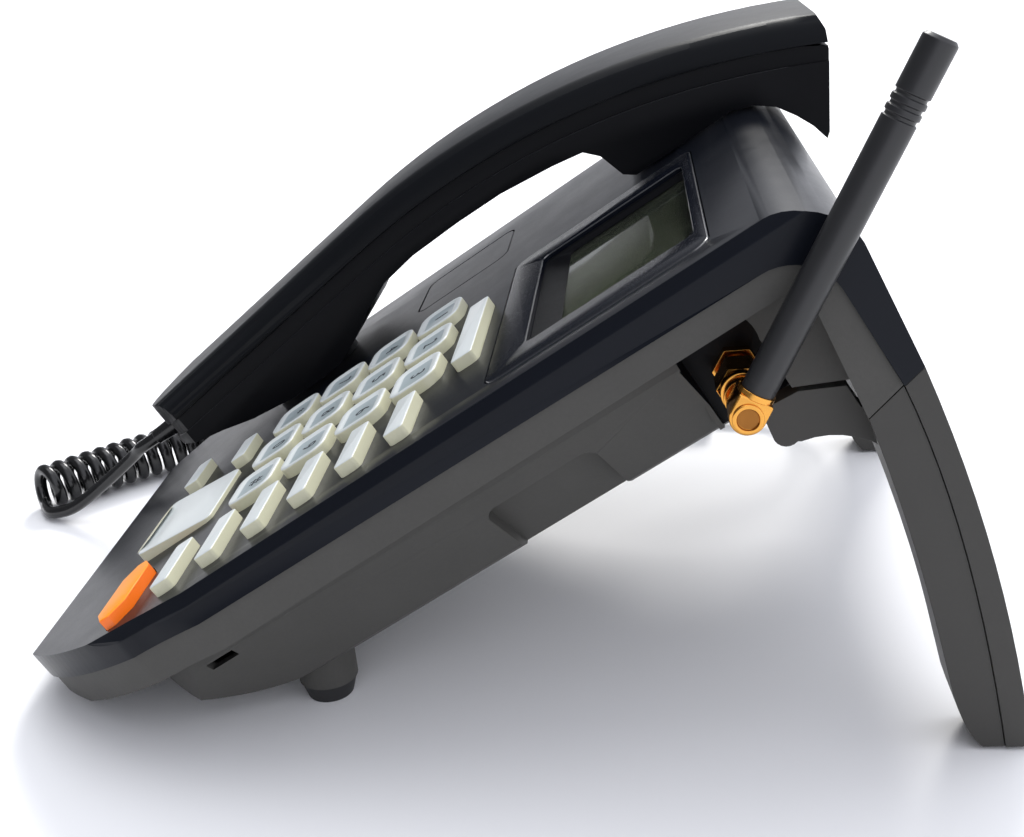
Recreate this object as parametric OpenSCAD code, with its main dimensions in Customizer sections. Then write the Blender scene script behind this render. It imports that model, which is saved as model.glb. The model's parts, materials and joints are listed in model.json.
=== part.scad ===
// Desk telephone for a mobile network: tilted key deck, corded handset on its cradle,
// clip-on rear stand and a right-angle whip antenna that swivels on a threaded jack.
// Millimetres. The body is drawn in the deck's own frame (x right, y to the rear, z out of the
// deck face) and on_deck() tilts it on to the table. Cord, feet and pads are drawn upright.

/* [Base] */
// Width of the base over its rim
base_w = 158; // [154:1:162]
// Distance from the digit rows' datum to the deck's front edge
deck_front = 106; // [104:1:110]
// Distance from the datum to where the deck starts to roll over
roll_y = 84; // [83:0.5:85]
// Radius of the roll at the rear of the deck
roll_r = 12.5; // [12:0.5:13]
// Plan radius of the two front corners
corner_r = 39; // [34:1:42]
// Tilt of the deck on its stand
tilt = 30; // [29.5:0.5:30.5]
// Shell thickness
wall = 2.5; // [2:0.1:2.8]
// Depth of the top cover's rim
rim_h = 7.5; // [7:0.5:8]
// Depth of the belly below the deck
belly_h = 36.3; // [35:0.1:37]
// Width of the belly at its bottom edge
belly_w = 116.6; // [112:0.2:118]

/* [Keys] */
// Height of the key tops above the deck
key_rise = 2.5; // [2:0.1:3.2]
// Travel of every key
key_travel = 1; // [0.8:0.1:1.1]
// Gap round a key in its well
key_gap = 0.35; // [0.3:0.05:0.45]
// Width of a digit key
digit_w = 15.2; // [14:0.2:16]
// Depth of a digit key
digit_d = 12.1; // [11:0.1:12.3]
// Column spacing of the digit keys
digit_px = 19.95; // [19.5:0.05:20.2]
// Row spacing of the digit keys
digit_py = 14.7; // [14.7:0.1:15]
// Row spacing of the bar keys on the right
bar_py = 11.9; // [11.6:0.1:12]

/* [Handset] */
// Width of the handset
hs_w = 47; // [45:0.5:48]
// Sideways place of the handset's middle
hs_x = -45.2; // [-46:0.2:-45]
// Height of the crown over the deck
crown_z = 31; // [30.5:0.1:32]
// Radius of the crown's arch
crown_r = 212; // [205:1:220]

/* [Antenna] */
// Length of the whip from the jack's axis
whip_len = 68; // [60:1:74]
// Diameter of the whip
whip_d = 6.3; // [5.8:0.1:6.4]
// Lean of the whip from the deck plane
whip_lean = 32.2; // [28:0.2:40]

/* [Cord] */
// Diameter of the cord
cord_d = 3.6; // [3.2:0.1:3.6]
// Outer diameter of the coil
coil_od = 14; // [13.4:0.1:14.4]
// Pitch of the coil's turns
coil_pitch = 4.4; // [4.35:0.05:4.5]
// Turns of the coil
coil_turns = 48; // [46:1:49]

/* [Hidden] */
$fn = 48;

charcoal = "#24262b";
rim_black = "#1b1c20";
key_grey = "#c9ccd2";
call_orange = "#f07818";
gold = "#c9923c";
board_green = "#1f5a3a";
rubber_black = "#121214";
steel = "#9a9da3";

// Where the frame's origin sits, under the middle of everything but the cord
shift = [-4.1, -15.01];
half_w = base_w / 2;
edge = 1.8;
deck_lift = 64.6;
part_r = 10;
part_c = [roll_y - 4.5, -rim_h - part_r];
rear_y = roll_y + roll_r;
flange_z = 14.3;
flange_in = 0.8;
seam = [[94, -37], [81.2, -40.4]];
seam_part = [89.3, -38.2];
belly_top = [68.8, -17.5];
belly_edge = [belly_w / 2, -belly_h + 1.5];
belly_arc_r = 45;
belly_arc_y = -38;
housing_x = 70;
pocket_x = 60;
sma = [65, -25.8];
whip_x = 83;
foot_at = [48, -51.3];
leg_x = [65.5, 78.5];
stand_clip = [28, 40];
pad_h = 2.6;
pad_out = 0.8;
front_boss = [55, -90];
rear_boss = [48, 78];
hook_at = [-45.2, 66];
door = [26, -40, 38];
jack_y = 45;
jack_z = -26;
screw_head = [5.6, 2];
screw_shank = [2.6, 8];

// Keys: name, left, right, front, rear, corner radius
DIGITS = ["key_1", "key_2", "key_3", "key_4", "key_5", "key_6", "key_7", "key_8", "key_9",
          "key_star", "key_0", "key_hash"];
digit_right = 5.8;
digit_r = 4.4;
dish = 0.4;
dish_r = 36;
bar_x = [50.9, 69.7];
bar_y = 4;
bar_d = 4.7;
KEYS = concat(
    [for (i = [0:11]) let (x = digit_right + digit_px * (i % 3), y = -digit_py * floor(i / 3))
        [DIGITS[i], x - digit_w, x, y, y + digit_d, digit_r]],
    [for (i = [0:5]) let (y = bar_y - bar_py * i)
        [str("bar_key_", i + 1), bar_x[0], bar_x[1], y, y + bar_d, 1.6]],
    [["top_bar_key", 11, 48.5, 16.8, 22, 1.6],
     ["call_key", 45.7, 69.8, -71.6, -64, 1],
     ["wedge_key", 8.6, 36.2, -74, -53.5, 2],
     ["left_bar_key_1", -8.6, 5.2, -56.8, -52.4, 1.6],
     ["left_bar_key_2", -15.2, -1, -74.6, -70.2, 1.6]]);
flange_gap = 0.4;
key_flange = [0.9, 1];
key_foot = 0.4;
mat_top = -wall - flange_gap - key_flange[1] - key_foot - key_travel - 0.3;
mat_t = 0.9;
board_t = 1.6;
board_top = mat_top - mat_t;

// Display and index card
plate = [-13.5, 70.6, 25.7, 75];
window = [-2, 59, 34.5, 72];
plate_t = 1;
card = [-62.5, -34, -8.4, 21];
card_t = 1.2;

// Handset: straight mouth stretch, then the crown's arch
hs_wall = 2.2;
arch_y = 18;
arch_c = [arch_y, crown_z - crown_r];
arch_a = 6.84;
arch_from = arch_c + crown_r * [-sin(arch_a), cos(arch_a)];
hs_front = -86;
hs_rear = 114.3;
mouth_r = 30;
back_h = 6.4;
back_round = 5.4;
hs_seam = 0.2;
band_h = 4.2;
mouth_rest = 0.4;
boot_z = 10.9;
boot_len = 9;
hs_screws = [-60, 72];
mouth_slope = tan(arch_a);
function crown(y) = y < arch_from[0]
    ? arch_from[1] + (y - arch_from[0]) * mouth_slope
    : arch_c[1] + sqrt(pow(crown_r, 2) - pow(y - arch_c[0], 2));
// Height of a line that runs a set depth below the crown, measured square to it
function below_crown(y, d) = y < arch_from[0]
    ? crown(y) - d / cos(arch_a)
    : arch_c[1] + sqrt(pow(crown_r - d, 2) - pow(y - arch_c[0], 2));
hs_under = [[-86, 7.8], [-77, 7.4], [-66, 5.6], [-57, 3.6], [-44, 2.2], [-29, 2.6], [-21, 6], [-13, 10.6], [-6, 13.4],
            [4, 15], [18, 15.4], [31, 15.2], [45, 13.6], [53, 12.2], [56, 9], [58, 2.4], [60.5, 0.5]];
ear_end = [[87, 0.5], [92, -1.4], [96, -4.6], [98.8, -9], [100.8, -13.2], [102, -17.6], [103.2, -16.6],
           [112.7, -0.3]];

function arc(c, r, from, to, n = 10) =
    [for (i = [0:n]) let (a = from + (to - from) * i / n) c + r * [cos(a), sin(a)]];
function curve(a, b, c, n = 10) =
    [for (i = [0:n]) let (t = i / n) a * pow(1 - t, 2) + b * 2 * t * (1 - t) + c * t * t];
function unit(v) = v / norm(v);
function back(list) = [for (i = [len(list) - 1:-1:0]) list[i]];

module on_deck() {
    translate([shift[0], shift[1], deck_lift])
        rotate([tilt, 0, 0]) children();
}

module upright() {
    translate([shift[0], shift[1], 0]) children();
}

// A deck point's place above the table, before the frame's shift
function lifted(p) = [p[0], p[1] * cos(tilt) - p[2] * sin(tilt), p[1] * sin(tilt) + p[2] * cos(tilt) + deck_lift];

module along_x(half) {
    rotate([90, 0, 90])
        linear_extrude(2 * half, center = true) children();
}

module along_y(from, to) {
    translate([0, to, 0])
        rotate([90, 0, 0]) linear_extrude(to - from) children();
}

module slab(from, to) {
    translate([0, 0, from])
        linear_extrude(to - from) children();
}

module box(x, y, z) {
    translate([x[0], y[0], z[0]])
        cube([x[1] - x[0], y[1] - y[0], z[1] - z[0]]);
}

module rounded(x0, x1, y0, y1, r) {
    translate([x0 + r, y0]) square([x1 - x0 - 2 * r, y1 - y0]);
    translate([x0, y0 + r]) square([x1 - x0, y1 - y0 - 2 * r]);
    for (x = [x0 + r, x1 - r], y = [y0 + r, y1 - r])
        translate([x, y]) circle(r);
}

module pair(p) {
    for (s = [-1, 1])
        translate([s * p[0], p[1], 0]) children();
}

module both_sides() {
    children();
    mirror([1, 0, 0]) children();
}

// Outline of the base in plan: big front corners, square rear
module deck_plan(inset = 0) {
    half = half_w - inset;
    front = -deck_front + inset;
    r = corner_r - inset;
    translate([-half, front + r]) square([2 * half, 230]);
    translate([-half + r, front]) square([2 * (half - r), r + 1]);
    for (x = [-half + r, half - r])
        translate([x, front + r]) circle(r, $fn = 96);
}

module cover_profile() {
    polygon(concat(
        [[-deck_front, -rim_h], [-deck_front, -edge], [-deck_front + edge, 0]],
        arc([roll_y, -roll_r], roll_r, 90, 0),
        [seam[0], seam_part + [0.1, 0]],
        arc(part_c, part_r, 0, 90)));
}

module cover_hollow() {
    polygon(concat(
        [[-deck_front + wall, -60], [-deck_front + wall, -wall]],
        arc([roll_y, -roll_r], roll_r - wall, 90, 0),
        [[seam[0][0] - wall, seam[0][1] + wall], [70, seam[0][1] + wall], [70, -60]]));
}

module key_outline(k, grow = 0) {
    if (k[0] == "call_key") call_outline(k, grow);
    else rounded(k[1] - grow, k[2] + grow, k[3] - grow, k[4] + grow, k[5] + grow);
}

// The orange key is a long hexagon
module call_outline(k, grow) {
    mid = (k[3] + k[4]) / 2;
    nose = 4.5;
    polygon([[k[1] - grow, mid - 1.2], [k[1] + nose, k[3] - grow], [k[2] - nose, k[3] - grow],
             [k[2] + grow, mid - 1.2], [k[2] + grow, mid + 1.2], [k[2] - nose, k[4] + grow],
             [k[1] + nose, k[4] + grow], [k[1] - grow, mid + 1.2]]);
}

module boss(p, from, to, d, bore, bore_top) {
    translate([p[0], p[1], from])
        difference() {
            cylinder(d = d, h = to - from);
            translate([0, 0, -0.01]) cylinder(d = bore, h = bore_top - from);
        }
}

module top_cover() {
    color(charcoal) on_deck() {
        difference() {
            intersection() {
                along_x(half_w) cover_profile();
                slab(-60, 1) deck_plan();
                along_y(-140, 140)
                    polygon([[-half_w, -60], [-half_w, -2.2], [-half_w + 2.2, 0],
                             [half_w - 2.2, 0], [half_w, -2.2], [half_w, -60]]);
            }
            intersection() {
                along_x(half_w - wall) cover_hollow();
                slab(-60, 1) deck_plan(wall);
            }
            for (k = KEYS)
                slab(-wall - 1, 1) key_outline(k, key_gap);
            slab(-plate_t, 1) rounded(plate[0], plate[1], plate[2], plate[3], 4);
            slab(-wall - 1, 1) rounded(window[0], window[1], window[2], window[3], 2);
            slab(-card_t, 1) rounded(card[0], card[1], card[2], card[3], 4);
            translate([hook_at[0], hook_at[1], -wall - 1]) cylinder(d = 7.8, h = wall + 2);
        }
        pair(front_boss) boss([0, 0], -9.2, -wall + 0.1, 7, 2.8, -3.3);
        pair(rear_boss) boss([0, 0], -17.7, -wall + 0.1, 8, 2.8, -11);
    }
}

// Belly of the lower case: slanted side walls, a curved front and a flat bottom
module belly(inset) {
    top = belly_top - [inset, 0];
    low = belly_edge - [inset, -inset];
    r = belly_arc_r - inset;
    bottom = -belly_h + inset;
    intersection() {
        along_y(-100, 64 - inset)
            polygon([[-top[0], -rim_h], [-top[0], top[1]], [-low[0], low[1]], [-low[0] + 3, bottom],
                     [low[0] - 3, bottom], [low[0], low[1]], [top[0], top[1]], [top[0], -rim_h]]);
        along_x(half_w)
            polygon(concat([[70, -rim_h], [70, bottom]],
                arc([belly_arc_y, -belly_h + belly_arc_r], r, 270, 205, 12),
                [[-80 + inset, -rim_h]]));
        slab(-60, 1)
            intersection() {
                translate([0, 20]) square([300, 200], center = true);
                union() {
                    translate([-80, -48]) square([160, 140]);
                    translate([-36, -82 + inset]) square([72, 60]);
                    for (x = [-34, 34])
                        translate([x, -44]) circle(38 - inset, $fn = 72);
                }
            }
    }
}

// Rim band under the parting line, which bends down at the rear into the stand's socket
module flange_profile(inset) {
    i = inset;
    polygon(concat(
        [[-deck_front + flange_in + i, -rim_h + (i > 0 ? 1 : 0)]],
        back(arc(part_c + [0, i > 0 ? 1 : 0], part_r - (i > 0 ? 0.8 : 0), 0, 90)),
        [seam_part - [i > 0 ? i * 0.4 : 0, -i], seam[1] + [i, i]],
        arc(part_c - [0, 0], part_r - 5.5 + i, 0, 90),
        [[-deck_front + 7, -flange_z + i], [-deck_front + flange_in + 1.2 + i, -flange_z + 2.6 + i]]));
}

// Squarer housing behind the belly, above the stand's cheeks
module housing(inset) {
    along_x(housing_x - inset)
        polygon([[57.5 + inset, -rim_h], [57.5 + inset, -30 + inset], [72.7, -31.3 + inset],
                 [83.2, -36.2 + inset], [85.5 - inset * 0.4, -30], [86, -rim_h]]);
}

module case_form(inset) {
    intersection() {
        along_x(half_w - flange_in - inset) flange_profile(inset);
        slab(-60, 1) deck_plan(flange_in + inset);
    }
    belly(inset);
    housing(inset);
    box([44 + inset, 62 - inset], [56 + inset, 72.4 - inset], [-34.2 + inset, -20]);
}

// Room round the antenna jack at the belly's right rear corner
module jack_pocket(grow = 0) {
    box([pocket_x - grow, half_w - 6], [57 - grow, 72.4 + grow], [-60, -18 + grow]);
    translate([pocket_x - grow, sma[0], -18 - grow])
        rotate([0, 90, 0]) cylinder(r = 7.7 + grow, h = 12);
}

module bottom_case() {
    color(charcoal) on_deck() {
        difference() {
            union() {
                difference() {
                    case_form(0);
                    difference() {
                        case_form(wall);
                        jack_pocket(wall);
                        side_recess(2);
                    }
                }
                battery_well();
                pair(front_boss) translate([0, 0, -13]) cylinder(d = 10, h = 3.6);
                pair(rear_boss) translate([0, 0, -33]) cylinder(d = 9.4, h = 15);
                foot_posts();
            }
            difference() {
                jack_pocket();
                box([-90, 90], [-110, 110], [-14.2, 10]);
            }
            translate([pocket_x - 6, sma[0], sma[1]]) rotate([0, 90, 0]) cylinder(d = 6.6, h = 12);
            side_recess(0);
            side_slot();
            speaker_slots();
            door_slot();
            box([-half_w, -48], [jack_y - 6.2, jack_y + 6.2], [jack_z - 5.2, jack_z + 5.2]);
            box([-half_w, -48], [15.2, 24.8], [jack_z - 4.8, jack_z + 4.8]);
            pair(front_boss) translate([0, 0, -20]) cylinder(d = 6.4, h = 8.3);
            pair(front_boss) translate([0, 0, -20]) cylinder(d = 3, h = 15);
            pair(rear_boss) translate([0, 0, -50]) cylinder(d = 6.4, h = 30);
            pair(rear_boss) translate([0, 0, -50]) cylinder(d = 3, h = 40);
            foot_sockets();
            stand_slots();
        }
        for (p = board_posts)
            box([p[0] - 2, p[0] + 2], [p[1] - 2, p[1] + 2], [p[2], board_top - board_t]);
        box([hook_at[0] - 6, hook_at[0] + 6], [60.5, 68], [-30.2, -16]);
    }
}

// Board posts: three rise from the floor, one from the battery well's roof
function floor_at(y) = y > belly_arc_y ? -belly_h + 2
    : -belly_h + belly_arc_r - sqrt(pow(belly_arc_r - 2, 2) - pow(y - belly_arc_y, 2));
board_posts = [[-14, -62, floor_at(-62)], [40, -62, floor_at(-62)], [40, 20, floor_at(20)],
               [-14, 20, -belly_h + 14]];

// Frame, walls and roof round the battery
module battery_well() {
    x = door[0] - 0.5;
    difference() {
        union() {
            box([-x - 5.5, x + 5.5], [door[1] - 4, door[2] + 4], [-belly_h + 2.3, -belly_h + 3.9]);
            box([-x - 1.5, x + 1.5], [-29.5, door[2] - 1.5], [-belly_h + 3, -belly_h + 14.2]);
        }
        box([-x, x], [-28, door[2] - 3], [-belly_h, -belly_h + 12.7]);
    }
}

// Way of the battery door: a slot open to the front with a lip along each side
module door_slot() {
    box([-door[0] - 0.3, door[0] + 0.3], [-64, door[2] + 0.3], [-belly_h - 5, -belly_h + 2.4]);
    box([-door[0] - 1.8, door[0] + 1.8], [-64, door[2] + 0.3], [-belly_h + 0.8, -belly_h + 2.4]);
    box([-door[0] + 0.5, door[0] - 0.5], [-28, door[2] - 3], [-belly_h, -belly_h + 12.7]);
}

// Finger recess pressed into the right belly wall, open at the bottom edge
module side_recess(grow) {
    recess_d = 3.2;
    lean = atan2(belly_top[0] - belly_edge[0], belly_top[1] - belly_edge[1]);
    translate([belly_edge[0], 0, belly_edge[1]])
        rotate([0, lean, 0])
            rotate([90, 0, 90])
                translate([0, 0, -recess_d - grow])
                    linear_extrude(recess_d + grow + 8) rounded(9 - grow, 34.5 + grow, -9, 14.5 + grow, 3);
}

module side_slot() {
    box([60, 80], [-58, -51], [-20, -18]);
}

module speaker_slots() {
    for (i = [-2:2])
        box([-49, -35], [-19 + i * 4, -17.4 + i * 4], [-belly_h - 1, -belly_h + 4]);
}

module foot_posts() {
    both_sides()
        translate([foot_at[0], 0, 0]) world_post(13, 4.2, 16);
}

module foot_sockets() {
    both_sides()
        translate([foot_at[0], 0, 0]) world_post(9.6, 3.4, 7);
}

// Upright round post at the front foot, from one height above the table to another
module world_post(d, from, to) {
    foot_y = foot_at[1] * cos(tilt) - (-45) * sin(tilt);
    rotate([-tilt, 0, 0])
        translate([0, foot_y, from - deck_lift]) cylinder(d = d, h = to - from);
}

module front_feet() {
    color(rubber_black) on_deck() both_sides()
        translate([foot_at[0], 0, 0]) {
            world_post(9, 0, 6.9);
        }
}

module case_screws() {
    color(steel) on_deck() {
        pair(front_boss) screw(-11.8);
        pair(rear_boss) screw(-20.1);
    }
}

// Pan-head screw pointing up, its head's seat at a given height
module screw(seat) {
    translate([0, 0, seat - screw_head[1]]) cylinder(d = screw_head[0], h = screw_head[1]);
    translate([0, 0, seat - 0.1]) cylinder(d = screw_shank[0], h = screw_shank[1]);
}

module display_faceplate() {
    color(rim_black) on_deck()
        difference() {
            slab(-plate_t, 0.15) rounded(plate[0] + 0.3, plate[1] - 0.3, plate[2] + 0.3, plate[3] - 0.3, 3.7);
            slab(-wall, 1) rounded(window[0], window[1], window[2], window[3], 2);
        }
}

module display_lens() {
    color("#8f978f", 0.6) on_deck()
        slab(-wall - 1.2, -wall) rounded(window[0] - 2.4, window[1] + 2.4, window[2] - 2.4, window[3] + 2, 2);
}

module lcd_module() {
    color("#6f7a68") on_deck()
        box([window[0] - 1, window[1] + 1], [window[2] - 1, window[3] + 1], [-wall - 5, -wall - 1.2]);
}

module index_plate() {
    color(charcoal) on_deck()
        slab(-card_t, 0) rounded(card[0] + 0.5, card[1] - 0.5, card[2] + 0.5, card[3] - 0.5, 3.5);
}

module keypad_mat() {
    color("#d8d8d4") on_deck()
        slab(board_top, mat_top) rounded(-17, 71, -76.5, 24, 3);
}

module main_board() {
    color(board_green) on_deck() {
        slab(board_top - board_t, board_top)
            difference() {
                rounded(-19, 72, -78.5, 32, 3);
                pair(front_boss) circle(d = 8);
            }
        box([-2, 22], [-20, 4], [board_top - board_t - 2.4, board_top - board_t]);
        box([30, 44], [-44, -30], [board_top - board_t - 1.8, board_top - board_t]);
    }
}

module sim_holder() {
    color(steel) on_deck()
        box([-16, 1], [-52, -24], [board_top - board_t - 1.8, board_top - board_t]);
}

module loudspeaker() {
    color("#3a3c40") on_deck()
        translate([-42, -18, -belly_h + wall]) {
            cylinder(d = 22, h = 3);
            cylinder(d = 14, h = 7);
        }
}

module battery_pack() {
    color("#3f5d7a") on_deck()
        box([-door[0] + 0.6, door[0] - 0.6], [-27.9, door[2] - 3.1], [-belly_h + 2.6, -belly_h + 12.6]);
}

module battery_door() {
    color(charcoal) on_deck()
        difference() {
            union() {
                box([-door[0], door[0]], [door[1], door[2]], [-belly_h, -belly_h + 2.1]);
                box([-door[0] - 1.4, door[0] + 1.4], [door[1] + 4, door[2]], [-belly_h + 1.2, -belly_h + 2.1]);
            }
            for (i = [0:3])
                box([-8, 8], [door[1] + 6 + i * 3, door[1] + 7.4 + i * 3], [-belly_h - 1, -belly_h + 0.8]);
        }
}

module hook_switch() {
    color("#1d2b22") on_deck()
        box([hook_at[0] - 5, hook_at[0] + 5], [61, 71], [-16, -9.6]);
}

module hook_plunger() {
    color("#2b2d32") on_deck()
        translate([hook_at[0], hook_at[1], 0]) {
            translate([0, 0, -9.3]) cylinder(d = 7, h = 9.5);
            translate([0, 0, -7.3]) cylinder(d = 10, h = 1.4);
        }
}

// Antenna jack: threaded barrel through the pocket's floor with a hex shoulder inside
module antenna_jack() {
    color(gold) on_deck() translate([0, sma[0], sma[1]]) rotate([0, 90, 0])
        difference() {
            union() {
                translate([0, 0, pocket_x - wall - 2.5]) cylinder(d = 9.2, h = 2.5, $fn = 6);
                translate([0, 0, pocket_x - wall - 10]) cylinder(d = 6, h = 19.5);
            }
            translate([0, 0, pocket_x + 2]) cylinder(d = 4.2, h = 10);
        }
}

module jack_nut() {
    color(gold) on_deck() translate([pocket_x, sma[0], sma[1]]) rotate([0, 90, 0])
        difference() {
            cylinder(d = 9.6, h = 2.4, $fn = 6);
            translate([0, 0, -1]) cylinder(d = 6.2, h = 5);
        }
}

module antenna_nut() {
    color(gold) on_deck() translate([pocket_x + 5, sma[0], sma[1]]) rotate([0, 90, 0])
        difference() {
            union() {
                cylinder(d = 9.2, h = 7, $fn = 6);
                cylinder(d = 7.8, h = 9);
            }
            translate([0, 0, -1]) cylinder(d = 6.7, h = 5.4);
            translate([0, 0, -1]) cylinder(d = 5.6, h = 12);
        }
}

// Right-angle plug: neck through the nut, a block and a round end cap
module antenna_elbow() {
    neck = pocket_x + 8.4;
    color(gold) on_deck() translate([0, sma[0], sma[1]]) {
        translate([neck, 0, 0]) rotate([0, 90, 0]) cylinder(d = 4.9, h = 9.8);
        translate([neck - 0.9, 0, 0]) rotate([0, 90, 0]) cylinder(d = 6, h = 1.5);
        translate([pocket_x + 14.4, 0, 0]) rotate([0, 90, 0]) cylinder(d = 7, h = 4.6);
        translate([whip_x, 0, 0]) rotate([whip_lean, 0, 0]) {
            box([-4.2, 3.6], [-4.1, 4.3], [-4.1, 4.1]);
            rotate([0, 90, 0]) cylinder(d = 6.8, h = 4.2);
            rotate([-90, 0, 0]) cylinder(d = 7.2, h = 6);
        }
    }
}

module antenna_whip() {
    tip_l = 20;
    color(rubber_black) on_deck() translate([whip_x, sma[0], sma[1]]) rotate([whip_lean, 0, 0])
        rotate([-90, 0, 0])
            difference() {
                union() {
                    translate([0, 0, 6]) cylinder(d = whip_d - 0.5, h = whip_len - tip_l - 6);
                    translate([0, 0, whip_len - tip_l - 0.5]) cylinder(d = whip_d, h = tip_l);
                    translate([0, 0, whip_len - 0.5]) cylinder(d1 = whip_d, d2 = whip_d - 1, h = 0.5);
                }
                for (i = [0:2])
                    translate([0, 0, whip_len - tip_l + 2 + i * 1.8]) ring_cut(whip_d, 0.35, 0.8);
            }
}

module ring_cut(d, deep, high) {
    difference() {
        cylinder(d = d + 2, h = high);
        translate([0, 0, -1]) cylinder(d = d - 2 * deep, h = high + 2);
    }
}

module handset_jack() {
    color("#17181b") on_deck()
        difference() {
            box([-63.8, -48.5], [jack_y - 6, jack_y + 6], [jack_z - 5, jack_z + 5]);
            box([-70, -53], [jack_y - 4, jack_y + 4], [jack_z - 3, jack_z + 3]);
        }
}

module cord_plug() {
    color("#2c2e33") on_deck()
        box([-69, -53.2], [jack_y - 3.8, jack_y + 3.8], [jack_z - 2.7, jack_z + 2.7]);
}

module power_socket() {
    color("#17181b") on_deck()
        difference() {
            box([-63.8, -49], [15.4, 24.6], [jack_z - 4.6, jack_z + 4.6]);
            translate([-70, 20, jack_z]) rotate([0, 90, 0]) cylinder(d = 6.4, h = 18);
        }
}

// Plan of the handset: straight sides and a bowed mouth end
module handset_plan(inset = 0) {
    half = hs_w / 2 - inset;
    translate([-half, hs_front + 11.3 + inset * 0.6]) square([2 * half, 220]);
    intersection() {
        translate([0, hs_front + mouth_r]) circle(mouth_r - inset, $fn = 96);
        translate([-half, hs_front - 1]) square([2 * half, 30]);
    }
}

// Rounded cross-section of the handset's back, hung below the crown line
function back_ring(inset) = let (h = hs_w / 2 - inset, r = back_round - inset, z = -inset - r)
    concat(arc([h - r, z], r, 0, 90, 6), arc([r - h, z], r, 90, 180, 6), [[-h, -back_h], [h, -back_h]]);

// Stations of the crown line with their lean: one straight stretch at the mouth, then the arch
crown_steps = 22;
crown_end = asin((hs_rear + 6 - arch_c[0]) / crown_r);
mouth_len = arch_from[0] - hs_front + 12;
crown_way = concat(
    [[arch_from - mouth_len * [cos(arch_a), sin(arch_a)], -arch_a]],
    [for (i = [0:crown_steps]) let (a = -arch_a + (crown_end + arch_a) * i / crown_steps)
        [arch_c + crown_r * [sin(a), cos(a)], a]]);

// The cross-section carried along the crown line
module back_sweep(inset) {
    ring = back_ring(inset);
    n = len(ring);
    last = len(crown_way) - 1;
    points = [for (w = crown_way, q = ring) [q[0], w[0][0] + q[1] * sin(w[1]), w[0][1] + q[1] * cos(w[1])]];
    walls = [for (i = [0:last - 1], j = [0:n - 1]) let (k = (j + 1) % n)
        each [[i * n + j, i * n + k, (i + 1) * n + k], [i * n + j, (i + 1) * n + k, (i + 1) * n + j]]];
    polyhedron(points, concat(walls, [[for (j = [n - 1:-1:0]) j]], [[for (j = [0:n - 1]) last * n + j]]));
}

module handset_back() {
    color(charcoal) on_deck() translate([hs_x, 0, 0]) {
        difference() {
            intersection() {
                back_sweep(0);
                slab(-40, 60) handset_plan();
                along_x(60) end_cut(0);
            }
            intersection() {
                back_sweep(hs_wall);
                slab(-40, 60) handset_plan(hs_wall);
                along_x(60) end_cut(hs_wall);
            }
        }
        for (y = hs_screws)
            boss([0, y], crown(y) - back_h - 3, crown(y) - hs_wall + 0.3, 7, 2.8, crown(y) - 4);
    }
}

// Flat rear end of the handset, upright when it lies on the tilted deck
module end_cut(inset) {
    polygon([[-120, -60], [-120, 80], [hs_rear - inset, 80], [hs_rear - inset, 4],
             [ear_end[7][0] - inset, ear_end[7][1]], [60, -60]]);
}

module face_profile(inset) {
    top = [for (i = [0:30]) let (y = hs_rear - inset - (hs_rear - hs_front - 2 * inset) * i / 30)
        [y, below_crown(y, back_h + hs_seam) + (inset > 0 ? 1 : 0)]];
    under = [for (p = hs_under)
        [max(hs_front + inset, p[0] + (p[0] < 0 ? 0.3 : -0.3) * inset), p[1] + inset]];
    ear = inset > 0 ? [[90, 0.5 + inset], [103, -2], [110 - inset, 1.5]] : ear_end;
    polygon(concat(back(top), back(ear), back(under)));
}

// The upper stretch of the face shell is a recessed band under the back's edge
module face_band() {
    band = [for (i = [0:30]) let (y = hs_rear + 2 - (hs_rear - hs_front + 4) * i / 30)
        [y, below_crown(y, back_h + band_h)]];
    polygon(concat(back(band), [[hs_rear + 2, -40], [hs_front - 2, -40]]));
}

module handset_face() {
    color(rim_black) on_deck() translate([hs_x, 0, 0]) {
        difference() {
            union() {
                intersection() {
                    along_x(60) face_profile(0);
                    slab(-40, 60) handset_plan(0.8);
                }
                intersection() {
                    along_x(60) face_profile(0);
                    along_x(60) face_band();
                    slab(-40, 60) handset_plan();
                }
                translate([0, -44, mouth_rest]) cylinder(d = 27, h = 4);
            }
            intersection() {
                along_x(60) face_profile(hs_wall);
                slab(-40, 60) handset_plan(hs_wall + 0.6);
            }
            for (a = [0:60:300])
                translate([6 * cos(a), 92 + 6 * sin(a), -2]) cylinder(d = 2, h = 8);
            translate([0, 92, -2]) cylinder(d = 2, h = 8);
            translate([0, -42, 0]) cylinder(d = 2, h = 8);
            for (y = hs_screws)
                translate([0, y, -5]) cylinder(d = 6.2, h = crown(y) - back_h - 3);
            translate([0, hs_front - 4, boot_z]) rotate([-90, 0, 0]) cylinder(d = 5, h = 12);
        }
        for (y = hs_screws)
            handset_post(y);
    }
}

// Hollow post that takes a handset screw up to the back's boss
module handset_post(y) {
    seat = crown(y) - back_h - 8;
    foot = y < 0 ? 3.4 : 0.6;
    translate([0, y, foot])
        difference() {
            cylinder(d = 8.6, h = seat + 4.6 - foot);
            translate([0, 0, -1]) cylinder(d = 6.2, h = seat - foot + 1);
            translate([0, 0, -1]) cylinder(d = 3, h = 40);
        }
}

module handset_screws() {
    color(steel) on_deck() translate([hs_x, 0, 0])
        for (y = hs_screws)
            translate([0, y, 0]) screw(crown(y) - back_h - 8);
}

module receiver_capsule() {
    color("#45474b") on_deck() translate([hs_x, 92, 0.5 + hs_wall]) {
        translate([0, 0, 0.3]) cylinder(d = 22, h = 3.4);
        cylinder(d = 14, h = 6.4);
    }
}

module microphone_capsule() {
    color(steel) on_deck()
        translate([hs_x, -42, 2.8 + hs_wall]) cylinder(d = 9.6, h = 5);
}

module handset_weight() {
    color(steel) on_deck() translate([hs_x, 0, 0])
        box([-9, 9], [4, 40], [15.4 + hs_wall, 15.4 + hs_wall + 3.6]);
}

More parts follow.
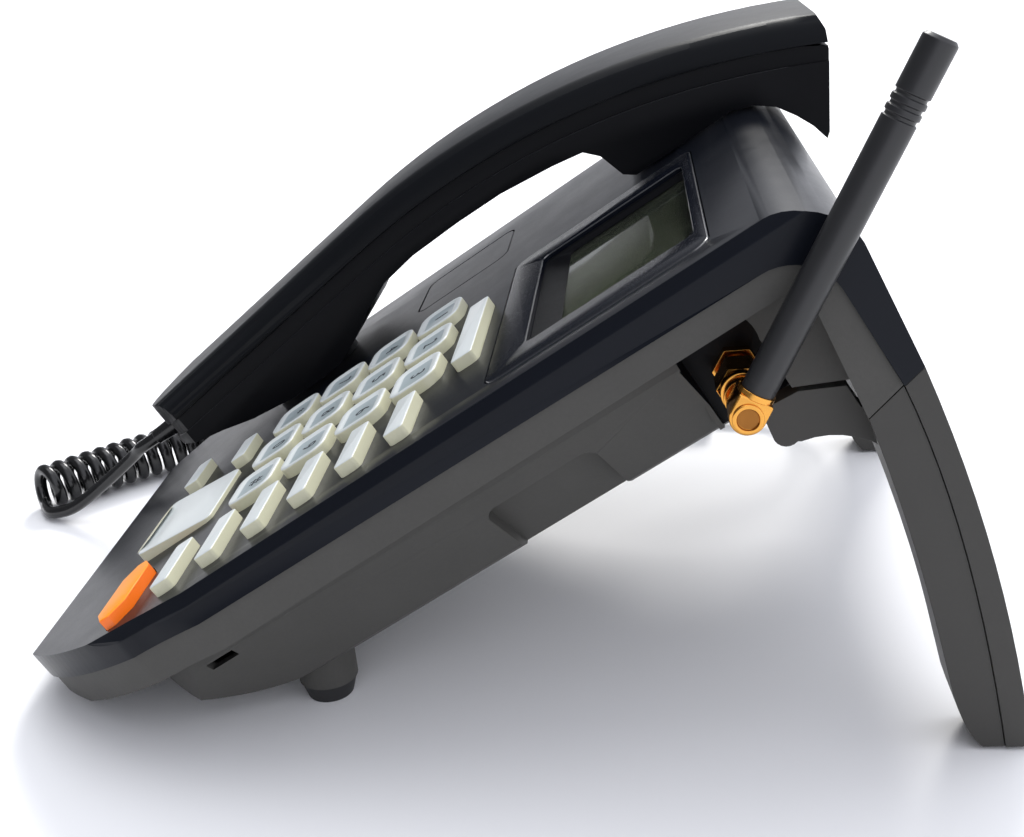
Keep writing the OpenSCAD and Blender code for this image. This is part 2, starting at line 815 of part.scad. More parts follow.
// Tapered rubber boot in the mouth end; the cord leaves from its small face
module cord_boot() {
    color(rubber_black) on_deck() translate([hs_x, hs_front - boot_len, boot_z]) rotate([-90, 0, 0]) {
        cylinder(d1 = cord_d + 0.6, d2 = 5.4, h = boot_len - 0.3);
        cylinder(d = 4.4, h = boot_len + 6);
    }
}

// Side curves of the stand: rear face, parting line and front ridge
leg_foot = -116;
rear_curve = curve(seam[0], [88.3, -78], [72.6, leg_foot], 12);
part_curve = curve(seam_part, [85.9, -70], [67.5, leg_foot], 12);
front_curve = curve(seam[1], [75.3, -73], [61.6, leg_foot + 6], 12);

// Front view of the stand: two legs under an arched bridge
module stand_front(inset = 0) {
    x = leg_x[1] - inset;
    in = leg_x[0] + inset;
    top = -62 + inset;
    r = 22;
    difference() {
        translate([-x, -130]) square([2 * x, 110]);
        translate([-in + r, -140]) square([2 * (in - r), 140 + top]);
        translate([-in, -140]) square([2 * in, 140 + top - r]);
        for (s = [-in + r, in - r])
            translate([s, top - r]) circle(r, $fn = 72);
    }
}

module above_table(height) {
    rotate([-tilt, 0, 0])
        translate([-120, -60, height - deck_lift]) cube([240, 300, 200]);
}

module stand_rear_cover() {
    color(rim_black) on_deck()
        difference() {
            intersection() {
                along_x(leg_x[1])
                    polygon(concat([for (p = rear_curve) p - [0, 0.25]],
                                   back([for (p = part_curve) p + [0.1, -0.25]])));
                along_y(40, 140) stand_front();
                above_table(pad_out);
            }
            both_sides() leg_screw_path(0) cylinder(d = 3, h = 60, center = true);
            both_sides() leg_screw_path(0) translate([0, 0, 1.6]) cylinder(d = 6.2, h = 20);
        }
}

module stand_front_shell() {
    hollow = 2.2;
    color(charcoal) on_deck() {
        difference() {
            union() {
                intersection() {
                    along_x(leg_x[1] - 0.4)
                        polygon(concat([for (p = part_curve) p - [0, 0.25]],
                                       back([for (p = front_curve) p - [0, 0.25]])));
                    along_y(40, 140) stand_front(0.4);
                    above_table(pad_out);
                }
                both_sides() cheek();
            }
            intersection() {
                along_x(leg_x[1] - 0.4 - hollow)
                    polygon(concat([for (p = part_curve) p + [1, -hollow]],
                                   back([for (p = front_curve) p + [hollow, -hollow]])));
                along_y(40, 140) stand_front(0.4 + hollow);
                above_table(pad_h + pad_out + 2.4);
            }
            both_sides() leg_pad(0.25, 0.2);
        }
        both_sides() leg_screw_path(0) translate([0, 0, -7.6]) screw_post();
        both_sides() box([stand_clip[0], stand_clip[1]], [84.6, 87], [-41.4, -34.6]);
    }
}

module screw_post() {
    difference() {
        cylinder(d = 6.4, h = 6.4);
        translate([0, 0, 2.6]) cylinder(d = 2.8, h = 10);
    }
}

// Frame at the stand's upper screw, its z square to the rear face
module leg_screw_path(lift) {
    translate([(leg_x[0] + leg_x[1]) / 2, 87.6, -52])
        rotate([-90 - 10, 0, 0]) translate([0, 0, lift]) children();
}

module stand_screws() {
    color(steel) on_deck() both_sides() leg_screw_path(0) {
        translate([0, 0, 1.7]) cylinder(d = screw_head[0], h = screw_head[1]);
        translate([0, 0, -4.4]) cylinder(d = screw_shank[0], h = 6.4);
    }
}

// Flat wavy cheek that reaches forward from the leg under the housing
module cheek() {
    box_x = [leg_x[0], leg_x[0] + 5];
    translate([(box_x[0] + box_x[1]) / 2, 0, 0])
        along_x((box_x[1] - box_x[0]) / 2)
            polygon(concat([[84, -40.2], [80.8, -41.1], [80.7, -36], [73, -32.2], [68, -31.9], [65.2, -33.2]],
                arc([67, -38.2], 2.6, 180, 290, 6),
                curve([68.4, -41], [76, -42.4], [80.5, -50.4], 6),
                [[84, -52]]));
}

// Tongues of the stand enter slots in the housing's floor
module stand_slots() {
    both_sides() box([stand_clip[0] - 0.3, stand_clip[1] + 0.3], [84.3, 87.3], [-50, -30]);
}

module leg_pad(grow, sink) {
    pad_y = [109.8, 115.2];
    rotate([-tilt, 0, 0])
        translate([0, 0, -deck_lift])
            box([leg_x[0] + 2.6 - grow, leg_x[1] - 3 + grow], pad_y + [-grow, grow], [-grow, pad_h + sink]);
}

module stand_pads() {
    color(rubber_black) on_deck() both_sides() leg_pad(0, 0);
}

// Key cap: body through the deck, a retaining flange below it and a short foot
module key_cap(k) {
    color(k[0] == "call_key" ? call_orange : key_grey) on_deck() {
        slab(-wall - flange_gap - 0.1, 0) key_outline(k);
        difference() {
            intersection() {
                slab(-0.1, key_rise) key_outline(k);
                key_crown(k);
            }
            if (k[5] == digit_r) translate([(k[1] + k[2]) / 2, (k[3] + k[4]) / 2, key_rise + dish_r - dish])
                sphere(dish_r, $fn = 96);
        }
        slab(-wall - flange_gap - key_flange[1], -wall - flange_gap) key_outline(k, key_flange[0]);
        slab(mat_top + key_travel + 0.3, -wall - flange_gap - 0.5) key_outline(k, -0.8);
    }
}

// Top form of a key: flat, or sloped down to the rear on the wedge
module key_crown(k) {
    rear = k[0] == "wedge_key" ? key_rise - 1.6 : key_rise;
    along_x(120)
        polygon([[k[3] - 1, -1], [k[3] - 1, key_rise], [k[4] + 1, rear], [k[4] + 1, -1]]);
}

// Curly cord: one tube from the boot down to the table, round the coil and up to the plug
coil_r = (coil_od - cord_d) / 2;
coil_z = coil_od / 2 + 0.4;
coil_start = [-57, -131];
coil_head = 131.5;
coil_lead = 26;
bend_r = 80;
coil_sides = 6;
rings_per_turn = 8;
bend_c = coil_start + coil_lead * [cos(coil_head), sin(coil_head)] + bend_r * [sin(coil_head), -cos(coil_head)];
bend_len = bend_r * (coil_head - 90) * PI / 180;
coil_len = coil_turns * coil_pitch;

// Point and heading of the coil's axis at a distance along it
function axis_at(s) = s < coil_lead
    ? coil_start + s * [cos(coil_head), sin(coil_head)]
    : s < coil_lead + bend_len
        ? let (h = coil_head - (s - coil_lead) / bend_r * 180 / PI) bend_c - bend_r * [sin(h), -cos(h)]
        : [bend_c[0] - bend_r, bend_c[1] + s - coil_lead - bend_len];
function head_at(s) = s < coil_lead ? coil_head
    : s < coil_lead + bend_len ? coil_head - (s - coil_lead) / bend_r * 180 / PI : 90;
function coil_point(s) =
    let (a = -100 - 360 * s / coil_pitch, p = axis_at(s), h = head_at(s), side = [sin(h), -cos(h)])
    [p[0] + coil_r * cos(a) * side[0], p[1] + coil_r * cos(a) * side[1], coil_z + coil_r * sin(a)];

boot_face = lifted([hs_x, hs_front - boot_len, boot_z]);
boot_out = [0, -cos(tilt), -sin(tilt)];
plug_face = lifted([-69, jack_y, jack_z]);
tail_points = [[-47, -97, 20], [-48, -108, 11.5], [-47.8, -118, 5], [-49.6, -125.6, 2.7], [-53.6, -129.3, 2.3]];
lead_points = [[-94.4, 76, 4.2], [-94.5, 88, 8], [-93, 97, 20], [-89, 96, 38], [-86, 82, 52], [-84, 66, 60]];
function rounded_way(p, n) = [for (i = [1:len(p) - 3], j = [0:n - 1])
    let (t = j / n, a = p[i - 1], b = p[i], c = p[i + 1], d = p[i + 2])
    0.5 * (2 * b + (c - a) * t + (2 * a - 5 * b + 4 * c - d) * t * t + (3 * b - a - 3 * c + d) * pow(t, 3))];
coil_points = [for (i = [0:coil_turns * rings_per_turn]) coil_point(i * coil_pitch / rings_per_turn)];
coil_end = coil_points[len(coil_points) - 1];
tail_way = concat(
    [boot_face, boot_face + boot_out * cord_d],
    rounded_way(concat([boot_face, boot_face + boot_out * cord_d * 1.6], tail_points,
                       [coil_points[0], coil_points[1]]), 3));
lead_way = concat(
    rounded_way(concat([coil_points[len(coil_points) - 2], coil_end], lead_points,
                       [plug_face - [cord_d * 1.8, 0, 0], plug_face]), 4),
    [plug_face - [cord_d * 1.8, 0, 0], plug_face - [cord_d, 0, 0], plug_face]);
cord_way = concat(tail_way, coil_points, [for (i = [1:len(lead_way) - 1]) lead_way[i]]);

// Least clear gap between stretches of the cord that are not neighbours along it
function least_gap(p, d, skip) = min([for (i = [0:len(p) - 1])
    min([for (j = [i + skip:1:min(i + 4 * rings_per_turn, len(p) - 1)]) norm(p[i] - p[j]) - d, 99])]);
echo(cord_gap = least_gap(cord_way, cord_d, 5));  // curly_cord

module tube(way, d, sides) {
    last = len(way) - 1;
    dir = [for (i = [0:last]) unit(way[min(i + 1, last)] - way[max(i - 1, 0)])];
    side = [for (i = 0, v = unit(cross(dir[0], [1, 0, 0])); i <= last;
                 v = unit(v - dir[min(i + 1, last)] * (v * dir[min(i + 1, last)])), i = i + 1) v];
    points = [for (i = [0:last], j = [0:sides - 1]) let (a = 360 * j / sides)
        way[i] + d / 2 * (cos(a) * side[i] + sin(a) * cross(dir[i], side[i]))];
    walls = [for (i = [0:last - 1], j = [0:sides - 1]) let (k = (j + 1) % sides)
        each [[i * sides + j, i * sides + k, (i + 1) * sides + k],
              [i * sides + j, (i + 1) * sides + k, (i + 1) * sides + j]]];
    polyhedron(points, concat(walls, [[for (j = [sides - 1:-1:0]) j]],
                              [[for (j = [0:sides - 1]) last * sides + j]]));
}

module curly_cord() {
    color(rubber_black) upright() tube(cord_way, cord_d, coil_sides);
}

top_cover();
bottom_case();
display_faceplate();
display_lens();
lcd_module();
index_plate();
keypad_mat();
main_board();
sim_holder();
loudspeaker();
battery_pack();
battery_door();
antenna_jack();
jack_nut();
antenna_nut();
antenna_elbow();
antenna_whip();
handset_jack();
cord_plug();
power_socket();
hook_switch();
hook_plunger();
front_feet();
case_screws();
handset_back();
handset_face();
handset_screws();
receiver_capsule();
microphone_capsule();
handset_weight();
cord_boot();
stand_rear_cover();
stand_front_shell();
stand_pads();
stand_screws();
curly_cord();
for (k = KEYS)
    key_cap(k);
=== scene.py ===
import json
import math

import bmesh
import bpy
from mathutils import Matrix, Vector


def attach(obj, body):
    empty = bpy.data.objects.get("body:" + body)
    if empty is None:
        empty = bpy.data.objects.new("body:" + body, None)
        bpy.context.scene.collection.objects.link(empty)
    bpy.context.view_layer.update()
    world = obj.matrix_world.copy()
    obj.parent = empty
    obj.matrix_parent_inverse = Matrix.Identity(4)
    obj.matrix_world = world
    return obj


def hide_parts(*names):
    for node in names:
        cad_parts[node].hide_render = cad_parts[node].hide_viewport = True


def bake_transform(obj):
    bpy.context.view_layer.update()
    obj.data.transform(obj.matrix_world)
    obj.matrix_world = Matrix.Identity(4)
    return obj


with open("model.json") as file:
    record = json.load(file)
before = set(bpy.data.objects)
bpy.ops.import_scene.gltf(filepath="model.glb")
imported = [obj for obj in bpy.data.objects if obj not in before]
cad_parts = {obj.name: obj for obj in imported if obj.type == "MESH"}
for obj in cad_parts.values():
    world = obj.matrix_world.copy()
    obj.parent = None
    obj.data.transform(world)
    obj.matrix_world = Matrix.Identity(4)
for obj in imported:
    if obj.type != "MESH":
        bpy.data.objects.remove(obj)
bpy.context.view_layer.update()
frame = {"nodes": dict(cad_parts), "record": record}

mm = 0.001
nodes = frame["nodes"]
scene = bpy.context.scene

# the deck's own frame in millimetres, tilted on to the table
deck = dict(tilt=30, lift=64.6, shift=(-4.1, -15.01))
tilt = math.radians(deck["tilt"])
tableShift = Vector((deck["shift"][0], deck["shift"][1], 0))
deckPlace = (Matrix.Scale(mm, 4)
             @ Matrix.Translation((deck["shift"][0], deck["shift"][1], deck["lift"]))
             @ Matrix.Rotation(tilt, 4, "X"))
deckUndo = deckPlace.inverted()
tablePlace = Matrix.Scale(mm, 4) @ Matrix.Translation(tableShift)


def lifted(x, y, z):
    # a deck point above the table, in millimetres before the shift
    return Vector((x, y * math.cos(tilt) - z * math.sin(tilt),
                   y * math.sin(tilt) + z * math.cos(tilt) + deck["lift"]))


# camera as solved from the key grid and the antenna plug
shot = dict(place=(299.7, 39.39, 163.5), lens=48.02, sensor=36, clip=(0.01, 50),
            right=(-0.0779, 0.9923, -0.0956), ahead=(-0.9245, -0.1078, -0.3655))
lensData = bpy.data.cameras.new("photoCamera")
lensData.lens = shot["lens"]
lensData.sensor_width = shot["sensor"]
lensData.clip_start, lensData.clip_end = shot["clip"]
cameraObj = bpy.data.objects.new("photoCamera", lensData)
scene.collection.objects.link(cameraObj)
ahead = Vector(shot["ahead"]).normalized()
right = (Vector(shot["right"]) - ahead * ahead.dot(Vector(shot["right"]))).normalized()
turn = Matrix((right, right.cross(ahead), -ahead)).transposed()
cameraObj.matrix_world = Matrix.Translation(Vector(shot["place"]) * mm) @ turn.to_4x4()
scene.camera = cameraObj
print("camera set")


class Wire:
    # one shader value; plain operators add Math nodes
    def __init__(self, book, socket):
        self.book = book
        self.socket = socket

    def join(self, kind, first, second):
        return self.book.node("ShaderNodeMath", {"operation": kind}, {0: first, 1: second})[0]

    def __add__(self, other):
        return self.join("ADD", self, other)

    def __radd__(self, other):
        return self.join("ADD", other, self)

    def __sub__(self, other):
        return self.join("SUBTRACT", self, other)

    def __rsub__(self, other):
        return self.join("SUBTRACT", other, self)

    def __mul__(self, other):
        return self.join("MULTIPLY", self, other)

    def __rmul__(self, other):
        return self.join("MULTIPLY", other, self)


class Book:
    # one material and its nodes
    def __init__(self, name):
        self.mat = bpy.data.materials.new(name)
        self.mat.use_nodes = True
        self.tree = self.mat.node_tree
        self.tree.nodes.clear()
        self.out = self.tree.nodes.new("ShaderNodeOutputMaterial")
        self.coords = self.node("ShaderNodeTexCoord", {}, {})["Object"]

    def node(self, kind, settings, values):
        made = self.tree.nodes.new(kind)
        for key, value in settings.items():
            setattr(made, key, value)
        for key, value in values.items():
            if isinstance(value, Wire):
                self.tree.links.new(value.socket, made.inputs[key])
            else:
                made.inputs[key].default_value = value
        return Outs(self, made)

    def noise(self, scale, detail, rough):
        return self.node("ShaderNodeTexNoise", {}, {"Vector": self.coords, "Scale": scale,
                                                    "Detail": detail, "Roughness": rough})["Fac"]

    def tint(self, factor, first, second):
        # the colour sockets of a Mix node share their names, so they go by number
        mixed = self.node("ShaderNodeMix", {"data_type": "RGBA"},
                          {"Factor": factor, 6: (*first, 1), 7: (*second, 1)})
        return mixed[2]

    def bump(self, height, strength, distance):
        return self.node("ShaderNodeBump", {}, {"Height": height, "Strength": strength,
                                                "Distance": distance})["Normal"]

    def surface(self, **sockets):
        names = dict(colour="Base Color", rough="Roughness", metal="Metallic", normal="Normal",
                     ior="IOR", clear="Transmission Weight", specular="Specular IOR Level")
        values = {names[key]: (*value, 1) if key == "colour" and isinstance(value, tuple) else value
                  for key, value in sockets.items()}
        shader = self.node("ShaderNodeBsdfPrincipled", {}, values)
        self.tree.links.new(shader["BSDF"].socket, self.out.inputs["Surface"])
        return self.mat


class Outs:
    # a node's outputs by name or number
    def __init__(self, book, made):
        self.book = book
        self.made = made

    def __getitem__(self, key):
        return Wire(self.book, self.made.outputs[key])


fineDepth = 0.00002  # relief of the finest grain, in metres


def scaled(colour, factor):
    return tuple(min(1, c * factor) for c in colour)


def mouldedPlastic(name, colour, rough, grain=1700, depth=fineDepth, strength=0.25, spread=0.12,
                   shine=0.5, wear=0.1):
    # spark-eroded plastic: fine grain in the relief, drift in tone, rubbed patches in the gloss
    book = Book(name)
    drift = book.noise(scale=38, detail=3, rough=0.6)
    speck = book.noise(scale=grain, detail=2, rough=0.6)
    rub = book.noise(scale=120, detail=4, rough=0.65)
    tone = book.tint(0.6 * drift + 0.4 * speck, scaled(colour, 1 - spread),
                     scaled(colour, 1 + spread))
    gloss = rough - 0.5 * wear - 0.02 + wear * rub + 0.05 * speck
    return book.surface(colour=tone, rough=gloss, normal=book.bump(speck, strength, depth),
                        specular=shine)


def platedMetal(name, colour, rough):
    # thin plating: a cloudy film and fine scuffs that run one way
    book = Book(name)
    film = book.noise(scale=260, detail=4, rough=0.6)
    drawn = book.node("ShaderNodeMapping", {}, {"Vector": book.coords, "Scale": (8, 1, 1)})
    scuff = book.node("ShaderNodeTexNoise", {}, {"Vector": drawn["Vector"], "Scale": 900.0,
                                                 "Detail": 2.0})["Fac"]
    tone = book.tint(film, scaled(colour, 0.82), scaled(colour, 1.12))
    return book.surface(colour=tone, rough=rough + 0.14 * scuff - 0.05, metal=1.0,
                        normal=book.bump(scuff, 0.12, fineDepth))


def softRubber(name, colour, rough):
    # dusty rubber with fine pores
    book = Book(name)
    dust = book.noise(scale=420, detail=5, rough=0.7)
    pore = book.noise(scale=3200, detail=2, rough=0.5)
    tone = book.tint(dust, scaled(colour, 0.75), scaled(colour, 1.5))
    return book.surface(colour=tone, rough=rough + 0.12 * dust - 0.06,
                        normal=book.bump(pore, 0.2, fineDepth))


deckPlastic = mouldedPlastic("deckPlastic", (0.0056, 0.0068, 0.0105), 0.3, spread=0.14, shine=0.13)
bellyPlastic = mouldedPlastic("bellyPlastic", (0.06, 0.0585, 0.054), 0.54, grain=1300,
                              depth=0.00005, strength=0.5, spread=0.25, shine=0.25)
gripPlastic = mouldedPlastic("gripPlastic", (0.0065, 0.0072, 0.0088), 0.4, shine=0.07)
facePlastic = mouldedPlastic("facePlastic", (0.0032, 0.0034, 0.0045), 0.42, shine=0.1)
standPlastic = mouldedPlastic("standPlastic", (0.047, 0.0455, 0.042), 0.46, grain=1500,
                              strength=0.35, spread=0.16, shine=0.26)
bezelPlastic = mouldedPlastic("bezelPlastic", (0.0045, 0.0056, 0.0095), 0.26, grain=2600,
                              strength=0.03, shine=0.03, wear=0.03)
keyPlastic = mouldedPlastic("keyPlastic", (0.62, 0.655, 0.655), 0.34, grain=2600, strength=0.1,
                            spread=0.05)
# painted shade: a darker, bluer copy of the key plastic for the digits' dishes
keyDishPaintedShade = mouldedPlastic("keyDishPaintedShade", (0.36, 0.42, 0.44), 0.3, grain=2600, strength=0.1, spread=0.08)
# painted light: the key plastic tinted yellow on the flanks for light shining through
keyFlankPaintedLight = mouldedPlastic("keyFlankPaintedLight", (0.62, 0.61, 0.44), 0.3, grain=2600, strength=0.08,
                          spread=0.08)
callPlastic = mouldedPlastic("callPlastic", (1.0, 0.3, 0.003), 0.4, grain=2600, strength=0.1,
                             spread=0.06, shine=0.25)
# painted shade: the call key's orange made darker and redder on its flanks
callFlankPaintedShade = mouldedPlastic("callFlankPaintedShade", (0.95, 0.17, 0.004), 0.32, grain=2600, strength=0.08,
                           spread=0.06)
whipPlastic = mouldedPlastic("whipPlastic", (0.012, 0.0122, 0.0135), 0.36, grain=2200, strength=0.2)
goldPlate = platedMetal("goldPlate", (0.74, 0.36, 0.075), 0.16)
# painted shade: a darker gold for the recessed end disc of the plug
goldRecessPaintedShade = platedMetal("goldRecessPaintedShade", (0.3, 0.125, 0.03), 0.34)
# painted highlight: a lighter colour than the dark shells, with a glossier finish, laid on rounded
# edges as bright lines
paintedHighlightEdge = mouldedPlastic("paintedHighlightEdge", (0.022, 0.024, 0.028), 0.24, grain=2600,
                              strength=0.03, shine=0.9, wear=0.03)
steelPlate = platedMetal("steelPlate", (0.3, 0.305, 0.315), 0.34)
padRubber = softRubber("padRubber", (0.011, 0.011, 0.012), 0.62)
cordVinyl = mouldedPlastic("cordVinyl", (0.006, 0.0062, 0.0065), 0.22, grain=2400, strength=0.12)
inkBlack = mouldedPlastic("inkBlack", (0.02, 0.024, 0.03), 0.5, grain=3000, strength=0.05)
boardLacquer = mouldedPlastic("boardLacquer", (0.02, 0.12, 0.06), 0.35, grain=900)
batteryWrap = mouldedPlastic("batteryWrap", (0.03, 0.07, 0.14), 0.35, grain=600)
matSilicone = softRubber("matSilicone", (0.5, 0.5, 0.48), 0.6)


def displayGlass():
    # thin hard-coated window: mostly clear, with the faint haze of handling
    book = Book("displayGlass")
    haze = book.noise(scale=60, detail=4, rough=0.6)
    return book.surface(colour=(0.62, 0.66, 0.62), rough=0.04 + 0.02 * haze, clear=1.0, ior=1.45)


def displayPanel():
    # reflective panel: a cloudy olive field with faint idle dot rows
    book = Book("displayPanel")
    rows = book.node("ShaderNodeTexWave", {"wave_type": "BANDS", "bands_direction": "X"},
                     {"Vector": book.coords, "Scale": 420.0})["Fac"]
    cloud = book.noise(scale=45, detail=3, rough=0.5)
    tone = book.tint(0.75 * cloud + 0.12 * rows, (0.4, 0.42, 0.32), (0.52, 0.54, 0.43))
    return book.surface(colour=tone, rough=0.11 + 0.02 * cloud, metal=0.75)


lensGlass = displayGlass()
panelFilm = displayPanel()
slotFinish = dict(charcoal_plastic=deckPlastic, black_plastic=facePlastic, display_lens=lensGlass,
                  display_panel=panelFilm, silicone=matSilicone, board=boardLacquer,
                  steel=steelPlate, capsule=facePlastic, battery=batteryWrap, gold=goldPlate,
                  rubber=padRubber, key_plastic=keyPlastic, call_key=callPlastic)
slotOf = {part["node"]: part["material_slot"] for part in frame["record"]["subparts"]}
bodyOf = {node: body for body, members in frame["record"]["behaviour"]["bodies"].items()
          for node in members}
for name, node in nodes.items():
    node.data.materials.clear()
    node.data.materials.append(slotFinish[slotOf[name]])
print("finishes made:", len(bpy.data.materials))


def addPiece(name, bm, finishes, body, replaced=(), place=deckPlace, smoothAngle=32):
    # puts a millimetre bmesh in the scene as a finished piece that rides on a body
    bm.transform(place)
    bmesh.ops.recalc_face_normals(bm, faces=bm.faces[:])
    mesh = bpy.data.meshes.new(name)
    bm.to_mesh(mesh)
    bm.free()
    for finish in finishes:
        mesh.materials.append(finish)
    mesh.polygons.foreach_set("use_smooth", [True] * len(mesh.polygons))
    mesh.set_sharp_from_angle(angle=math.radians(smoothAngle))
    obj = bpy.data.objects.new(name, mesh)
    scene.collection.objects.link(obj)
    if body:
        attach(obj, body)
    if replaced:
        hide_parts(*replaced)
    return obj


def meshOf(obj):
    # the finished mesh of a curve or text object, which is then removed
    mesh = bpy.data.meshes.new_from_object(
        obj.evaluated_get(bpy.context.evaluated_depsgraph_get()))
    bpy.data.objects.remove(obj)
    return mesh


# curly cord: boot, tail to the table, coil, lead up to the plug in the left wall
cord = dict(diameter=3.6, coilOd=14, pitch=4.4, turns=48, start=(-57, -131), heading=131.5,
            straight=26, bend=80, ringsPerTurn=24, firstCurl=-100, clear=0.4, stepsPerPoint=8,
            bootAt=(-45.2, -95, 10.9), bootRun=1.6, plugAt=(-69, 45, -26), plugRun=1.8,
            tail=((-47, -97, 20), (-48, -108, 11.5), (-47.8, -118, 5), (-49.6, -125.6, 2.7),
                  (-53.6, -129.3, 2.3)),
            lead=((-94.4, 76, 4.2), (-94.5, 88, 8), (-93, 97, 20), (-89, 96, 38), (-86, 82, 52),
                  (-84, 66, 60)),
            blendAt=(-70, 0, 0), blendRun=(36.2, -5.43, 0))


def coilPoint(s):
    # the strand's place at s millimetres along the coil's middle line
    h0 = math.radians(cord["heading"])
    start = Vector(cord["start"])
    run = cord["straight"]
    bend = cord["bend"]
    bendLen = bend * (h0 - math.pi / 2)
    centre = (start + run * Vector((math.cos(h0), math.sin(h0)))
              + bend * Vector((math.sin(h0), -math.cos(h0))))
    if s < run:
        h = h0
        p = start + s * Vector((math.cos(h0), math.sin(h0)))
    elif s < run + bendLen:
        h = h0 - (s - run) / bend
        p = centre - bend * Vector((math.sin(h), -math.cos(h)))
    else:
        h = math.pi / 2
        p = Vector((centre.x - bend, centre.y + s - run - bendLen))
    a = math.radians(cord["firstCurl"] - 360 * s / cord["pitch"])
    r = (cord["coilOd"] - cord["diameter"]) / 2
    side = Vector((math.sin(h), -math.cos(h)))
    height = cord["coilOd"] / 2 + cord["clear"] + r * math.sin(a)
    return Vector((*(p + r * math.cos(a) * side), height))


def roundWay(points):
    # a smooth way from the second point to just short of the last but one
    count = cord["stepsPerPoint"]
    way = []
    for i in range(1, len(points) - 2):
        a, b, c, d = (Vector(p) for p in points[i - 1:i + 3])
        for j in range(count):
            t = j / count
            way.append(0.5 * (2 * b + (c - a) * t + (2 * a - 5 * b + 4 * c - d) * t * t
                              + (3 * b - a - 3 * c + d) * t ** 3))
    return way


def cordWay():
    d = cord["diameter"]
    boot = lifted(*cord["bootAt"])
    bootOut = Vector((0, -math.cos(tilt), -math.sin(tilt)))
    plug = lifted(*cord["plugAt"])
    rings = cord["turns"] * cord["ringsPerTurn"]
    coil = [coilPoint(i * cord["pitch"] / cord["ringsPerTurn"]) for i in range(rings + 1)]
    inward = Vector((d, 0, 0))
    plugFrom = plug - inward * cord["plugRun"]
    tail = [boot, boot + bootOut * d] + roundWay(
        [boot, boot + bootOut * d * cord["bootRun"], *cord["tail"], coil[0], coil[3]])
    lead = roundWay([coil[-4], coil[-1], *cord["lead"], plugFrom, plug])
    lead += [plugFrom, plug - inward, plug]
    return [(p + tableShift) * mm for p in tail + coil + lead[1:]]


cordPath = cordWay()
cordLength = sum((b - a).length for a, b in zip(cordPath, cordPath[1:]))
cordLine = bpy.data.curves.new("cordLine", "CURVE")
cordLine.dimensions = "3D"
cordLine.bevel_depth = cord["diameter"] / 2 * mm
cordLine.bevel_resolution = 3
cordLine.use_fill_caps = True
spline = cordLine.splines.new("POLY")
spline.points.add(len(cordPath) - 1)
for point, place in zip(spline.points, cordPath):
    point.co = (*place, 1)
lineObj = bpy.data.objects.new("cordLine", cordLine)
scene.collection.objects.link(lineObj)
cordMesh = meshOf(lineObj)
cordMesh.name = "curlyCord"
cordMesh.materials.clear()
cordMesh.materials.append(cordVinyl)
cordMesh.polygons.foreach_set("use_smooth", [True] * len(cordMesh.polygons))
curlyCord = bpy.data.objects.new("curlyCord", cordMesh)
scene.collection.objects.link(curlyCord)
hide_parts("curly_cord")
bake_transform(curlyCord)
print("cord made:", round(cordLength, 3), "m")


def nodeCopy(name, flat=0.6):
    # a merged copy of a CAD node in deck millimetres, its flat faces joined up
    bm = bmesh.new()
    bm.from_mesh(nodes[name].data)
    bm.transform(deckUndo)
    bmesh.ops.remove_doubles(bm, verts=bm.verts[:], dist=0.002)
    bmesh.ops.dissolve_limit(bm, angle_limit=math.radians(flat), verts=bm.verts[:],
                             edges=bm.edges[:])
    bm.normal_update()
    return bm


def softenEdges(obj, width, angle=30, segments=2):
    bevel = obj.modifiers.new("softEdges", "BEVEL")
    bevel.width = width * mm
    bevel.segments = segments
    bevel.limit_method = "ANGLE"
    bevel.angle_limit = math.radians(angle)
    bevel.harden_normals = True
    bevel.use_clamp_overlap = True


def bevelled(bm, geom, offset, segments, affect="EDGES", clamp=False):
    return bmesh.ops.bevel(bm, geom=geom, offset=offset, offset_type="OFFSET", segments=segments,
                           profile=0.5, affect=affect, clamp_overlap=clamp, material=-1)["faces"]


def roundOver(bm, wanted, offset, segments=3, sharper=14):
    # rounds the edges that a test on their place and their two faces picks out
    picked = []
    for edge in bm.edges:
        if (len(edge.link_faces) == 2 and edge.is_convex
                and edge.calc_face_angle() > math.radians(sharper)):
            place = (edge.verts[0].co + edge.verts[1].co) / 2
            if wanted(place, *(face.normal for face in edge.link_faces)):
                picked.append(edge)
    return bevelled(bm, picked, offset, segments, clamp=True) if picked else []


def fade(value, low, high):
    # 0 below low, 1 above high and smooth between
    t = min(1, max(0, (value - low) / (high - low)))
    return t * t * (3 - 2 * t)


# rim of the base: the slope that runs round it, its roundings and the parting line
rim = dict(slope=(0.2, 0.93), rear=70, coverRound=1.0, caseRound=0.9,
           parting=-7.5, near=0.3, lift=1, fadeFrom=35, fadeTo=68)


def rimEdge(place, first, second):
    # both sides of the slope that runs round the rim
    low, high = rim["slope"]
    slopes = [low < abs(n.z) < high for n in (first, second)]
    return any(slopes) and not all(slopes) and place.y < rim["rear"]


def liftParting(bm):
    # the parting line runs a little nearer the deck
    for v in bm.verts:
        if abs(v.co.z - rim["parting"]) < rim["near"]:
            v.co.z += rim["lift"] * (1 - fade(v.co.y, rim["fadeFrom"], rim["fadeTo"]))


# the base's front corners: round in the CAD form, drawn out to a long curve here
corner = dict(pivot=(40, -46), side=79, front=-106, radius=39, alongX=38.5, alongY=60,
              pullX=0.67, pullY=0.61, cutBeyond=(74, -40), cuts=(-46.1, -52, -58, -63),
              fadeFrom=0.82, fadeTo=0.945, flat=0.4, boardGap=5.5)


def cutThrough(bm, inside, cuts):
    # adds edges across the faces that reach into a region, so that it can be bent
    for place, normal in cuts:
        faces = [f for f in bm.faces if any(inside(v.co) for v in f.verts)]
        geom = set(faces)
        for f in faces:
            geom.update(f.verts)
            geom.update(f.edges)
        bmesh.ops.bisect_plane(bm, geom=list(geom), dist=0.01, plane_co=place, plane_no=normal)


